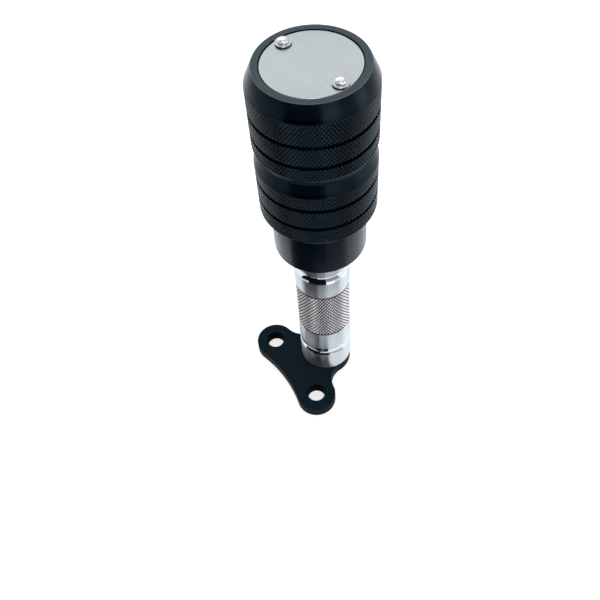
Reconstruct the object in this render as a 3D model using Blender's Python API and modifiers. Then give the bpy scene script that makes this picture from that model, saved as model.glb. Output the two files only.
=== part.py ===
"""Motorcycle frame slider: a flat bracket, a turned stem and a knurled plastic puck.

Metres, +Z up. The origin is on the bracket's underside, midway between its two bolt holes.
The bolt holes lie on the X axis, and the slider's own axis stands on +Y from them.
"""
import math

import bmesh
import bpy
from mathutils import Matrix, Vector

MM = 0.001

# Fits and edges that several pieces share
SEAT_GAP = 0.3 * MM
EDGE_BREAK = 0.4 * MM
BOLT_RADIUS = 5.0 * MM
THREAD_RUNOUT = 3.0 * MM
SHANK_CHAMFER = 0.8 * MM

# Bracket
BRACKET_THICKNESS = 6.5 * MM
BOLT_HOLE_SPACING = 40.7 * MM
BOLT_HOLE_RADIUS = 4.5 * MM
HOLE_CHAMFER = 0.4 * MM
EAR_RADIUS = 10.1 * MM
STEM_OFFSET = 20.1 * MM
LOBE_SETBACK = 0.2 * MM
LONG_SIDE_RADIUS = 69.0 * MM
NECK_RADIUS = 10.8 * MM

# Stem, as bands from the foot up
STEM_RADIUS = 13.3 * MM
STEM_FOOT_BAND = 13.3 * MM
ARC_GROOVE_WIDTH = 6.2 * MM
ARC_GROOVE_DEPTH = 1.0 * MM
STEM_LOWER_BAND = 13.2 * MM
RELIEF_WIDTH = 0.9 * MM
RELIEF_DEPTH = 0.5 * MM
GRIP_LENGTH = 30.6 * MM
STEM_UPPER_BAND = 10.8 * MM
STEM_HEAD_BAND = 10.2 * MM
BORE_CHAMFER = 0.7 * MM
DRILL_POINT_ANGLE = math.radians(59.0)

# Puck, as bands from the cap face down
PUCK_RADIUS = 25.0 * MM
RIM_STEP = 3.6 * MM
RIM_WALL = 2.35 * MM
END_TAPER = 7.1 * MM
UPPER_LOBE_BANDS = (9.8 * MM, 8.8 * MM, 5.7 * MM)
WAIST_LENGTH = 10.1 * MM
WAIST_DEPTH = 2.6 * MM
LOWER_LOBE_BANDS = (6.4 * MM, 9.3 * MM, 7.4 * MM)
PUCK_GROOVE_WIDTH = 1.2 * MM
PUCK_GROOVE_DEPTH = 0.9 * MM
SHOULDER_TAPER = 5.6 * MM
COLLAR_STEP = 4.3 * MM
COLLAR_LENGTH = 20.2 * MM
TAIL_TAPER = 2.4 * MM
TAIL_STEP = 2.4 * MM
TOOL_CLEARANCE = 1.25 * MM

# Crush sleeve and washers in the puck
SLEEVE_WALL = 1.8 * MM
SLEEVE_LENGTH = 45.0 * MM
WASHER_RADIUS = 10.25 * MM
WASHER_THICKNESS = 2.0 * MM
SPRING_WASHER_RADIUS = 9.05 * MM
SPRING_WASHER_THICKNESS = 2.2 * MM
SPRING_WASHER_SPLIT = 0.8 * MM
SPRING_WASHER_SLANT = math.radians(25.0)

# Socket head bolt of the puck
PUCK_BOLT_HEAD_RADIUS = 8.0 * MM
PUCK_BOLT_HEAD_HEIGHT = 10.0 * MM
PUCK_BOLT_HEX = 8.0 * MM
PUCK_BOLT_HEX_DEPTH = 5.0 * MM
PUCK_BOLT_REACH = 25.0 * MM

# Countersunk screw of the bracket
FLUSH_HEAD_RADIUS = 9.6 * MM
FLUSH_HEAD_LAND = 0.25 * MM
FLUSH_HEAD_DROP = 0.3 * MM
FLUSH_HEX = 6.0 * MM
FLUSH_HEX_DEPTH = 3.5 * MM
FLUSH_REACH = 18.0 * MM

# Cap plate and the two flanged rivets that hold it
PLATE_THICKNESS = 1.0 * MM
PLATE_DROP = 0.3 * MM
PLATE_CHAMFER = 0.2 * MM
RIVET_INSET = 3.25 * MM
RIVET_BEARING = math.radians(7.5)
RIVET_FLANGE_RADIUS = 3.2 * MM
RIVET_FLANGE_THICKNESS = 0.5 * MM
RIVET_DOME_RADIUS = 1.95 * MM
RIVET_DOME_HEIGHT = 1.45 * MM
RIVET_SHANK_RADIUS = 1.5 * MM
RIVET_REACH = 8.0 * MM

# Facets around a full turn, and along an arc
PUCK_FACETS = 64
STEM_FACETS = 48
SMALL_FACETS = 32
ARC_STEP = math.radians(8.0)
CUTTER_OVERSHOOT = 1.0 * MM

# Heights along the slider's axis
STEM_FOOT = BRACKET_THICKNESS + SEAT_GAP
STEM_LENGTH = (STEM_FOOT_BAND + STEM_LOWER_BAND + GRIP_LENGTH + STEM_UPPER_BAND + STEM_HEAD_BAND
               + 2 * ARC_GROOVE_WIDTH + 2 * RELIEF_WIDTH)
STEM_HEAD = STEM_FOOT + STEM_LENGTH
PUCK_TAIL = STEM_HEAD + SEAT_GAP
PUCK_GROOVE_COUNT = len(UPPER_LOBE_BANDS) + len(LOWER_LOBE_BANDS) - 2
PUCK_LENGTH = (END_TAPER + sum(UPPER_LOBE_BANDS) + WAIST_LENGTH + sum(LOWER_LOBE_BANDS)
               + PUCK_GROOVE_COUNT * PUCK_GROOVE_WIDTH + SHOULDER_TAPER + COLLAR_LENGTH + TAIL_TAPER)
PUCK_FACE = PUCK_TAIL + PUCK_LENGTH
PLATE_BOTTOM = PUCK_FACE - PLATE_DROP - PLATE_THICKNESS
RECESS_FLOOR = PLATE_BOTTOM - SEAT_GAP
PUCK_SHOULDER = PUCK_TAIL + SLEEVE_LENGTH
WASHER_SEAT = PUCK_SHOULDER + SEAT_GAP
SPRING_WASHER_SEAT = WASHER_SEAT + WASHER_THICKNESS + SEAT_GAP
PUCK_BOLT_SEAT = SPRING_WASHER_SEAT + SPRING_WASHER_THICKNESS + SEAT_GAP
RIVET_SEAT = PLATE_BOTTOM + PLATE_THICKNESS + SEAT_GAP

# Radii that follow from the fits
BOLT_CLEARANCE_RADIUS = BOLT_RADIUS + SEAT_GAP
SLEEVE_RADIUS = BOLT_CLEARANCE_RADIUS + SLEEVE_WALL
RIM_RADIUS = PUCK_RADIUS - RIM_STEP
RECESS_RADIUS = RIM_RADIUS - RIM_WALL
PLATE_RADIUS = RECESS_RADIUS - SEAT_GAP
RIVET_CIRCLE_RADIUS = PLATE_RADIUS - RIVET_INSET
COLLAR_RADIUS = PUCK_RADIUS - COLLAR_STEP
LOBE_RADIUS = STEM_RADIUS - LOBE_SETBACK
COUNTERBORE_RADIUS = WASHER_RADIUS + TOOL_CLEARANCE
RIVET_HOLE_RADIUS = RIVET_SHANK_RADIUS + SEAT_GAP


def remove_old_objects():
    for old in list(bpy.data.objects):
        bpy.data.objects.remove(old, do_unlink=True)


def new_collection(name):
    collection = bpy.data.collections.new(name)
    bpy.context.scene.collection.children.link(collection)
    return collection


def new_material(name, colour, metallic, roughness):
    material = bpy.data.materials.new(name)
    material.use_nodes = True
    shader = material.node_tree.nodes["Principled BSDF"]
    shader.inputs["Base Color"].default_value = (*colour, 1.0)
    shader.inputs["Metallic"].default_value = metallic
    shader.inputs["Roughness"].default_value = roughness
    material.diffuse_color = (*colour, 1.0)
    return material


def smooth_by_angle(mesh):
    mesh.shade_smooth()
    mesh.set_sharp_from_angle(angle=math.radians(25.0))


def settle(obj):
    """Turn what the modifiers or the curve make into a plain welded mesh."""
    bpy.context.view_layer.update()
    evaluated = obj.evaluated_get(bpy.context.evaluated_depsgraph_get())
    mesh = bpy.data.meshes.new_from_object(evaluated)
    shape = bmesh.new()
    shape.from_mesh(mesh)
    bmesh.ops.remove_doubles(shape, verts=shape.verts, dist=0.001 * MM)
    bmesh.ops.dissolve_limit(shape, angle_limit=math.radians(0.2), verts=shape.verts,
                             edges=shape.edges)
    shape.to_mesh(mesh)
    shape.free()
    smooth_by_angle(mesh)
    return mesh


def place(name, mesh, collection, location, parent=None, material=None):
    obj = bpy.data.objects.new(name, mesh)
    collection.objects.link(obj)
    obj.location = location
    obj.parent = parent
    if material:
        mesh.materials.append(material)
    return obj


def turned_mesh(name, profile, facets, collection, closed=False):
    """Spin a profile of (radius, height) points, listed down the outer side, about Z."""
    line = bpy.data.meshes.new(name)
    shape = bmesh.new()
    points = [shape.verts.new((radius, 0.0, height)) for radius, height in profile]
    pairs = list(zip(points, points[1:]))
    if closed:
        pairs.append((points[-1], points[0]))
    for start, end in pairs:
        shape.edges.new((start, end))
    shape.to_mesh(line)
    shape.free()
    guide = place(name, line, collection, (0.0, 0.0, 0.0))
    screw = guide.modifiers.new("Screw", "SCREW")
    screw.axis = "Z"
    screw.angle = math.tau
    screw.steps = facets
    screw.render_steps = facets
    screw.use_merge_vertices = True
    screw.merge_threshold = 0.01 * MM
    mesh = settle(guide)
    bpy.data.objects.remove(guide, do_unlink=True)
    bpy.data.meshes.remove(line)
    mesh.name = name
    return mesh


def ring_profile(inner, outer, bottom, top):
    return [(outer, top), (outer, bottom), (inner, bottom), (inner, top)]


def square_groove(radius, top, width, depth):
    bottom = top - width
    floor = radius - depth
    return [(radius, top), (floor, top), (floor, bottom), (radius, bottom)]


def arc_groove(radius, top, width, depth):
    """Points of a shallow round groove, from its upper edge to its lower one."""
    curve_radius = (width ** 2 / 4 + depth ** 2) / (2 * depth)
    half_angle = math.asin(min(1.0, width / 2 / curve_radius))
    steps = 10
    centre_radius = radius - depth + curve_radius
    centre_height = top - width / 2
    points = []
    for index in range(steps + 1):
        angle = half_angle * (1 - 2 * index / steps)
        points.append((centre_radius - curve_radius * math.cos(angle),
                       centre_height + curve_radius * math.sin(angle)))
    return points


def cut(target, cutter):
    boolean = target.modifiers.new("Cut " + cutter.name, "BOOLEAN")
    boolean.operation = "DIFFERENCE"
    boolean.solver = "EXACT"
    boolean.object = cutter


def add_cutter(name, mesh, cutters, location, parent=None):
    cutter = place(name, mesh, cutters, location, parent)
    cutter.hide_render = True
    cutter.display_type = "WIRE"
    return cutter


def hex_cutter(name, across_flats, bottom, top, cutters, parent):
    """A six-sided prism between two heights, for a hex socket."""
    shape = bmesh.new()
    corner_radius = across_flats / 2 / math.cos(math.radians(30.0))
    bmesh.ops.create_cone(shape, cap_ends=True, segments=6, radius1=corner_radius,
                          radius2=corner_radius, depth=top - bottom)
    mesh = bpy.data.meshes.new(name)
    shape.to_mesh(mesh)
    shape.free()
    return add_cutter(name, mesh, cutters, (0.0, 0.0, (top + bottom) / 2), parent)


def arc_points(centre, radius, start, end, clockwise=False):
    """Points along an arc from one angle to another, both ends included."""
    sweep = (start - end) % math.tau if clockwise else (end - start) % math.tau
    steps = max(2, math.ceil(sweep / ARC_STEP))
    end = start - sweep if clockwise else start + sweep
    angles = [start + (end - start) * index / steps for index in range(steps + 1)]
    return [(centre.x + radius * math.cos(angle), centre.y + radius * math.sin(angle))
            for angle in angles]


def bearing(origin, target):
    return math.atan2(target.y - origin.y, target.x - origin.x)


def bracket_half_outline():
    """The +X half of the outline, from the long side's middle round to the lobe's top."""
    ear = Vector((BOLT_HOLE_SPACING / 2, 0.0))
    lobe = Vector((0.0, STEM_OFFSET))
    side_reach = LONG_SIDE_RADIUS + EAR_RADIUS
    side = Vector((0.0, -math.sqrt(side_reach ** 2 - ear.x ** 2)))

    # The neck's arc touches the lobe and the ear from outside
    to_lobe = LOBE_RADIUS + NECK_RADIUS
    to_ear = EAR_RADIUS + NECK_RADIUS
    span = (ear - lobe).length
    along = (to_lobe ** 2 - to_ear ** 2 + span ** 2) / (2 * span)
    across = math.sqrt(to_lobe ** 2 - along ** 2)
    direction = (ear - lobe).normalized()
    neck = lobe + direction * along + Vector((-direction.y, direction.x)) * across

    long_side = arc_points(side, LONG_SIDE_RADIUS, math.radians(90.0), bearing(side, ear), True)
    ear_arc = arc_points(ear, EAR_RADIUS, bearing(ear, side), bearing(ear, neck))
    neck_arc = arc_points(neck, NECK_RADIUS, bearing(neck, ear), bearing(neck, lobe), True)
    lobe_arc = arc_points(lobe, LOBE_RADIUS, bearing(lobe, neck), math.radians(90.0))
    return long_side + ear_arc[1:] + neck_arc[1:] + lobe_arc[1:]


def bracket_mesh(collection):
    half = bracket_half_outline()
    mirrored = [(-x, y) for x, y in reversed(half[1:-1])]
    outline = half + mirrored
    curve = bpy.data.curves.new("bracket", "CURVE")
    curve.dimensions = "2D"
    curve.fill_mode = "BOTH"
    curve.extrude = BRACKET_THICKNESS / 2
    spline = curve.splines.new("POLY")
    spline.points.add(len(outline) - 1)
    for point, (x, y) in zip(spline.points, outline):
        point.co = (x, y, 0.0, 1.0)
    spline.use_cyclic_u = True
    guide = place("bracket_outline", curve, collection, (0.0, 0.0, 0.0))
    mesh = settle(guide)
    bpy.data.objects.remove(guide, do_unlink=True)
    bpy.data.curves.remove(curve)
    mesh.transform(Matrix.Translation((0.0, 0.0, BRACKET_THICKNESS / 2)))
    mesh.name = "bracket"
    return mesh


def add_bracket(parts, cutters, axis, material):
    bracket = place("bracket", bracket_mesh(parts), parts, (0.0, 0.0, 0.0), None, material)
    bevel = bracket.modifiers.new("Broken edges", "BEVEL")
    bevel.width = EDGE_BREAK
    bevel.segments = 2
    bevel.limit_method = "ANGLE"
    bevel.angle_limit = math.radians(60.0)

    top = BRACKET_THICKNESS
    wide = BOLT_HOLE_RADIUS + HOLE_CHAMFER + CUTTER_OVERSHOOT
    hole_profile = [(0.0, top + CUTTER_OVERSHOOT), (wide, top + CUTTER_OVERSHOOT),
                    (BOLT_HOLE_RADIUS, top - HOLE_CHAMFER), (BOLT_HOLE_RADIUS, HOLE_CHAMFER),
                    (wide, -CUTTER_OVERSHOOT), (0.0, -CUTTER_OVERSHOOT)]
    hole = turned_mesh("bolt_hole", hole_profile, SMALL_FACETS, cutters)
    for name, side in (("bolt_hole_left", -1), ("bolt_hole_right", 1)):
        x = side * BOLT_HOLE_SPACING / 2
        cut(bracket, add_cutter(name, hole, cutters, (x, 0.0, 0.0)))

    # A 90 degree countersink from below, a seat gap wider than the screw's own cone
    mouth = FLUSH_HEAD_RADIUS + FLUSH_HEAD_LAND + FLUSH_HEAD_DROP + SEAT_GAP * math.sqrt(2)
    sink_profile = [(0.0, top + CUTTER_OVERSHOOT),
                    (BOLT_CLEARANCE_RADIUS, top + CUTTER_OVERSHOOT),
                    (BOLT_CLEARANCE_RADIUS, mouth - BOLT_CLEARANCE_RADIUS),
                    (mouth + CUTTER_OVERSHOOT, -CUTTER_OVERSHOOT), (0.0, -CUTTER_OVERSHOOT)]
    sink = turned_mesh("countersink", sink_profile, SMALL_FACETS, cutters)
    cut(bracket, add_cutter("countersink", sink, cutters, (0.0, 0.0, 0.0), axis))


def stem_outside():
    """The stem's outer side from head to foot, with heights from the foot."""
    height = STEM_LENGTH
    points = [(STEM_RADIUS - EDGE_BREAK, height), (STEM_RADIUS, height - EDGE_BREAK)]
    height -= STEM_HEAD_BAND
    points += arc_groove(STEM_RADIUS, height, ARC_GROOVE_WIDTH, ARC_GROOVE_DEPTH)
    height -= ARC_GROOVE_WIDTH + STEM_UPPER_BAND
    points += square_groove(STEM_RADIUS, height, RELIEF_WIDTH, RELIEF_DEPTH)
    height -= RELIEF_WIDTH + GRIP_LENGTH
    points += square_groove(STEM_RADIUS, height, RELIEF_WIDTH, RELIEF_DEPTH)
    height -= RELIEF_WIDTH + STEM_LOWER_BAND
    points += arc_groove(STEM_RADIUS, height, ARC_GROOVE_WIDTH, ARC_GROOVE_DEPTH)
    points += [(STEM_RADIUS, EDGE_BREAK), (STEM_RADIUS - EDGE_BREAK, 0.0)]
    return points


def add_stem(parts, axis, material):
    """The stem, with a tapped and drill-pointed bore in each end."""
    bore = BOLT_CLEARANCE_RADIUS
    point_length = bore / math.tan(DRILL_POINT_ANGLE)
    head_floor = STEM_LENGTH - PUCK_BOLT_REACH - THREAD_RUNOUT
    foot_floor = FLUSH_REACH + THREAD_RUNOUT
    head_bore = [(0.0, head_floor - point_length), (bore, head_floor),
                 (bore, STEM_LENGTH - BORE_CHAMFER), (bore + BORE_CHAMFER, STEM_LENGTH)]
    foot_bore = [(bore + BORE_CHAMFER, 0.0), (bore, BORE_CHAMFER),
                 (bore, foot_floor), (0.0, foot_floor + point_length)]
    profile = head_bore + stem_outside() + foot_bore
    mesh = turned_mesh("stem", profile, STEM_FACETS, parts)
    place("stem", mesh, parts, (0.0, 0.0, STEM_FOOT), axis, material)


def lobe(top, bands):
    """Bands at the puck's full radius with narrow grooves between them."""
    points = [(PUCK_RADIUS, top)]
    height = top
    for band in bands[:-1]:
        height -= band
        points += square_groove(PUCK_RADIUS, height, PUCK_GROOVE_WIDTH, PUCK_GROOVE_DEPTH)
        height -= PUCK_GROOVE_WIDTH
    height -= bands[-1]
    points.append((PUCK_RADIUS, height))
    return points, height


def puck_outside():
    """The puck's outer side from cap face to tail, with heights from the tail."""
    points = [(RIM_RADIUS - EDGE_BREAK, PUCK_LENGTH), (RIM_RADIUS, PUCK_LENGTH - EDGE_BREAK)]
    upper, height = lobe(PUCK_LENGTH - END_TAPER, UPPER_LOBE_BANDS)
    points += upper
    points.append((PUCK_RADIUS - WAIST_DEPTH, height - WAIST_LENGTH / 2))
    lower, height = lobe(height - WAIST_LENGTH, LOWER_LOBE_BANDS)
    points += lower
    height -= SHOULDER_TAPER
    points.append((COLLAR_RADIUS, height))
    height -= COLLAR_LENGTH
    points.append((COLLAR_RADIUS, height))
    points.append((COLLAR_RADIUS - TAIL_STEP, 0.0))
    return points


def rivet_position(side):
    """Place of a rivet across the axis, on its bearing or straight opposite."""
    return (side * RIVET_CIRCLE_RADIUS * math.cos(RIVET_BEARING),
            side * RIVET_CIRCLE_RADIUS * math.sin(RIVET_BEARING))


def add_puck(parts, cutters, axis, material):
    sleeve_bore = SLEEVE_RADIUS + SEAT_GAP
    floor = RECESS_FLOOR - PUCK_TAIL
    inside = [(sleeve_bore, 0.0), (sleeve_bore, SLEEVE_LENGTH),
              (COUNTERBORE_RADIUS, SLEEVE_LENGTH), (COUNTERBORE_RADIUS, floor),
              (RECESS_RADIUS, floor), (RECESS_RADIUS, PUCK_LENGTH - EDGE_BREAK / 2),
              (RECESS_RADIUS + EDGE_BREAK / 2, PUCK_LENGTH)]
    mesh = turned_mesh("puck", puck_outside() + inside, PUCK_FACETS, parts, closed=True)
    puck = place("puck", mesh, parts, (0.0, 0.0, PUCK_TAIL), axis, material)

    bottom = RECESS_FLOOR - RIVET_REACH - SEAT_GAP
    hole_profile = [(0.0, RECESS_FLOOR + CUTTER_OVERSHOOT),
                    (RIVET_HOLE_RADIUS, RECESS_FLOOR + CUTTER_OVERSHOOT),
                    (RIVET_HOLE_RADIUS, bottom), (0.0, bottom)]
    hole = turned_mesh("rivet_hole", hole_profile, SMALL_FACETS // 2, cutters)
    for name, side in (("rivet_hole_left", -1), ("rivet_hole_right", 1)):
        cut(puck, add_cutter(name, hole, cutters, (*rivet_position(side), 0.0), axis))


def add_sleeve_and_washers(parts, cutters, axis, steel):
    bore = BOLT_CLEARANCE_RADIUS
    sleeve = ring_profile(bore, SLEEVE_RADIUS, 0.0, SLEEVE_LENGTH)
    mesh = turned_mesh("puck_sleeve", sleeve, SMALL_FACETS, parts, closed=True)
    place("puck_sleeve", mesh, parts, (0.0, 0.0, PUCK_TAIL), axis, steel)

    washer = ring_profile(bore, WASHER_RADIUS, 0.0, WASHER_THICKNESS)
    mesh = turned_mesh("puck_washer", washer, SMALL_FACETS, parts, closed=True)
    place("puck_washer", mesh, parts, (0.0, 0.0, WASHER_SEAT), axis, steel)

    ring = ring_profile(bore, SPRING_WASHER_RADIUS, 0.0, SPRING_WASHER_THICKNESS)
    mesh = turned_mesh("spring_washer", ring, SMALL_FACETS, parts, closed=True)
    spring = place("spring_washer", mesh, parts, (0.0, 0.0, SPRING_WASHER_SEAT), axis, steel)

    # The split is a thin slanted slab through one side of the ring
    shape = bmesh.new()
    bmesh.ops.create_cube(shape, size=1.0)
    slab = bpy.data.meshes.new("split")
    shape.to_mesh(slab)
    shape.free()
    wide = SPRING_WASHER_RADIUS + CUTTER_OVERSHOOT
    tall = 3 * SPRING_WASHER_THICKNESS
    slab.transform(Matrix.Diagonal((wide, SPRING_WASHER_SPLIT, tall, 1.0)))
    slab.transform(Matrix.Rotation(SPRING_WASHER_SLANT, 4, "X"))
    middle = SPRING_WASHER_SEAT + SPRING_WASHER_THICKNESS / 2
    cut(spring, add_cutter("split", slab, cutters, (wide / 2, 0.0, middle), axis))


def add_puck_bolt(parts, cutters, axis, steel):
    """The socket head bolt, from its head in the counterbore down into the stem."""
    head = PUCK_BOLT_HEAD_HEIGHT
    head_radius = PUCK_BOLT_HEAD_RADIUS
    end = STEM_HEAD - PUCK_BOLT_REACH - PUCK_BOLT_SEAT
    profile = [(0.0, head), (head_radius - SHANK_CHAMFER, head),
               (head_radius, head - SHANK_CHAMFER), (head_radius, 0.0), (BOLT_RADIUS, 0.0),
               (BOLT_RADIUS, end + SHANK_CHAMFER), (BOLT_RADIUS - SHANK_CHAMFER, end), (0.0, end)]
    mesh = turned_mesh("puck_bolt", profile, SMALL_FACETS, parts)
    bolt = place("puck_bolt", mesh, parts, (0.0, 0.0, PUCK_BOLT_SEAT), axis, steel)
    top = PUCK_BOLT_SEAT + head
    cut(bolt, hex_cutter("puck_bolt_hex", PUCK_BOLT_HEX, top - PUCK_BOLT_HEX_DEPTH,
                         top + CUTTER_OVERSHOOT, cutters, axis))


def add_bracket_screw(parts, cutters, axis, steel):
    """The countersunk screw, from the bracket's underside up into the stem."""
    end = STEM_FOOT + FLUSH_REACH - FLUSH_HEAD_DROP
    cone = FLUSH_HEAD_RADIUS - BOLT_RADIUS
    profile = [(0.0, end), (BOLT_RADIUS - SHANK_CHAMFER, end), (BOLT_RADIUS, end - SHANK_CHAMFER),
               (BOLT_RADIUS, FLUSH_HEAD_LAND + cone), (FLUSH_HEAD_RADIUS, FLUSH_HEAD_LAND),
               (FLUSH_HEAD_RADIUS, 0.0), (0.0, 0.0)]
    mesh = turned_mesh("bracket_screw", profile, SMALL_FACETS, parts)
    screw = place("bracket_screw", mesh, parts, (0.0, 0.0, FLUSH_HEAD_DROP), axis, steel)
    cut(screw, hex_cutter("bracket_screw_hex", FLUSH_HEX, -CUTTER_OVERSHOOT,
                          FLUSH_HEAD_DROP + FLUSH_HEX_DEPTH, cutters, axis))


def add_cap_plate(parts, cutters, axis, material):
    rim = PLATE_RADIUS - PLATE_CHAMFER
    profile = [(0.0, PLATE_THICKNESS), (rim, PLATE_THICKNESS),
               (PLATE_RADIUS, PLATE_THICKNESS - PLATE_CHAMFER), (PLATE_RADIUS, 0.0), (0.0, 0.0)]
    mesh = turned_mesh("cap_plate", profile, PUCK_FACETS, parts)
    plate = place("cap_plate", mesh, parts, (0.0, 0.0, PLATE_BOTTOM), axis, material)
    top = PLATE_BOTTOM + PLATE_THICKNESS + CUTTER_OVERSHOOT
    bottom = PLATE_BOTTOM - CUTTER_OVERSHOOT
    hole_profile = [(0.0, top), (RIVET_HOLE_RADIUS, top), (RIVET_HOLE_RADIUS, bottom), (0.0, bottom)]
    hole = turned_mesh("plate_hole", hole_profile, SMALL_FACETS // 2, cutters)
    for name, side in (("plate_hole_left", -1), ("plate_hole_right", 1)):
        cut(plate, add_cutter(name, hole, cutters, (*rivet_position(side), 0.0), axis))


def add_cap_rivets(parts, axis, material):
    """Flanged rivets with a domed head, through the plate into the puck."""
    flange = RIVET_FLANGE_THICKNESS
    steps = 6
    dome = []
    for index in range(steps + 1):
        angle = math.radians(90.0) * (1 - index / steps)
        dome.append((RIVET_DOME_RADIUS * math.cos(angle), flange + RIVET_DOME_HEIGHT * math.sin(angle)))
    dome[0] = (0.0, flange + RIVET_DOME_HEIGHT)
    end = RECESS_FLOOR - RIVET_REACH - RIVET_SEAT
    edge = flange / 4
    body = [(RIVET_FLANGE_RADIUS - edge, flange), (RIVET_FLANGE_RADIUS, flange - edge),
            (RIVET_FLANGE_RADIUS, 0.0), (RIVET_SHANK_RADIUS, 0.0), (RIVET_SHANK_RADIUS, end),
            (0.0, end)]
    mesh = turned_mesh("cap_rivet", dome + body, SMALL_FACETS, parts)
    mesh.materials.append(material)
    for name, side in (("cap_rivet_left", -1), ("cap_rivet_right", 1)):
        place(name, mesh, parts, (*rivet_position(side), RIVET_SEAT), axis)


def main():
    remove_old_objects()
    parts = new_collection("frame_slider")
    cutters = new_collection("cutters")
    axis = place("slider_axis", None, parts, (0.0, STEM_OFFSET, 0.0))

    anodised = new_material("black_anodised", (0.014, 0.018, 0.019), 0.6, 0.42)
    aluminium = new_material("turned_aluminium", (0.82, 0.84, 0.83), 1.0, 0.22)
    plastic = new_material("black_plastic", (0.011, 0.016, 0.019), 0.0, 0.38)
    brushed = new_material("brushed_plate", (0.66, 0.70, 0.69), 1.0, 0.36)
    bright = new_material("bright_rivet", (0.80, 0.82, 0.81), 1.0, 0.16)
    steel = new_material("zinc_steel", (0.60, 0.61, 0.60), 1.0, 0.34)

    add_bracket(parts, cutters, axis, anodised)
    add_bracket_screw(parts, cutters, axis, steel)
    add_stem(parts, axis, aluminium)
    add_puck(parts, cutters, axis, plastic)
    add_sleeve_and_washers(parts, cutters, axis, steel)
    add_puck_bolt(parts, cutters, axis, steel)
    add_cap_plate(parts, cutters, axis, brushed)
    add_cap_rivets(parts, axis, bright)
    bpy.context.view_layer.update()


main()
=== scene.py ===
import math

import bmesh
import bpy
from mathutils import Matrix, Vector


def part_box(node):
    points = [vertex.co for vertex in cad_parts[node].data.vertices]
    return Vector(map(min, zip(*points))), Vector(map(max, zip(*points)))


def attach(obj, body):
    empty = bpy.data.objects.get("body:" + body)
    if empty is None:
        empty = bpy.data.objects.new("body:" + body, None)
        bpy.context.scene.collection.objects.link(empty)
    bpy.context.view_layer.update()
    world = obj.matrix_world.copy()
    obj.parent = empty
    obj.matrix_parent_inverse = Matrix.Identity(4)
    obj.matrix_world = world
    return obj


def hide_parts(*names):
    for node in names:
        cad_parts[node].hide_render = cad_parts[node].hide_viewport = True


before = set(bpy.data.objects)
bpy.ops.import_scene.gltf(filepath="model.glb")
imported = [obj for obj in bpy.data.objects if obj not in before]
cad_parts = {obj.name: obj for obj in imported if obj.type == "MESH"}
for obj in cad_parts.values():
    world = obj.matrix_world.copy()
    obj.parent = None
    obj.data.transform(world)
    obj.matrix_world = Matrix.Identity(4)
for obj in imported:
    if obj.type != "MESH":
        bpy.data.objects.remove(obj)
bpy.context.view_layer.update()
print("frame loaded:", ", ".join(sorted(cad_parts)))

mm = 0.001
tiny = 1e-7  # a length that counts as nothing
overCut = 1 * mm  # how far a cutter passes the face it opens
stemLow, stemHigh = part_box("stem")
axisPlace = Vector((0.0, (stemLow.y + stemHigh.y) / 2, 0.0))  # the foot of the slider's axis


# Node trees

class Wire:  # a node's output, on which Python's operators add Math nodes
    def __init__(self, tree, node, output=0):
        self.tree = tree
        self.node = node
        self.socket = node.outputs[output] if node.outputs else None  # an end node has none

    def other(self, output):
        return Wire(self.tree, self.node, output)

    def maths(self, operation, first, second=0.0):
        return addNode(self.tree, "ShaderNodeMath", {"operation": operation}, {0: first, 1: second})

    def __add__(self, value):
        return self.maths("ADD", self, value)

    def __radd__(self, value):
        return self.maths("ADD", value, self)

    def __sub__(self, value):
        return self.maths("SUBTRACT", self, value)

    def __rsub__(self, value):
        return self.maths("SUBTRACT", value, self)

    def __mul__(self, value):
        return self.maths("MULTIPLY", self, value)

    def __rmul__(self, value):
        return self.maths("MULTIPLY", value, self)

    def __truediv__(self, value):
        return self.maths("DIVIDE", self, value)

    def __rtruediv__(self, value):
        return self.maths("DIVIDE", value, self)

    def __mod__(self, value):
        return self.maths("FLOORED_MODULO", self, value)

    def __rmod__(self, value):
        return self.maths("FLOORED_MODULO", value, self)

    def __pow__(self, value):
        return self.maths("POWER", self, value)

    def __rpow__(self, value):
        return self.maths("POWER", value, self)

    def __gt__(self, value):
        return self.maths("GREATER_THAN", self, value)

    def __lt__(self, value):
        return self.maths("LESS_THAN", self, value)

    def __abs__(self):
        return self.maths("ABSOLUTE", self)

    def floor(self):
        return self.maths("FLOOR", self)

    def cos(self):
        return self.maths("COSINE", self)

    def sin(self):
        return self.maths("SINE", self)


def feed(tree, socket, value):  # a link, or a plain value
    if isinstance(value, Wire):
        tree.links.new(value.socket, socket)
    else:
        socket.default_value = value


def grey(value):
    return (value, value, value, 1.0)


def addNode(tree, kind, settings=None, sockets=None, output=0):
    node = tree.nodes.new(kind)
    for name, value in (settings or {}).items():
        if name == "stops":
            ramp = node.color_ramp
            while len(ramp.elements) < len(value):
                ramp.elements.new(0.5)
            for element, (place, shade) in zip(ramp.elements, value):
                element.position = place
                element.color = grey(shade)
        else:
            setattr(node, name, value)
    for key, value in (sockets or {}).items():
        feed(tree, node.inputs[key], value)
    return Wire(tree, node, output)


def rise(value, low, high):  # 0 below low, 1 above high, smooth between
    return addNode(value.tree, "ShaderNodeMapRange", {"interpolation_type": "SMOOTHSTEP"},
                   {"Value": value, "From Min": low, "From Max": high})


def riseUnder(value, level, depths):  # the same, between two depths under a level
    return rise(value, level - depths[0], level - depths[1])


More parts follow.
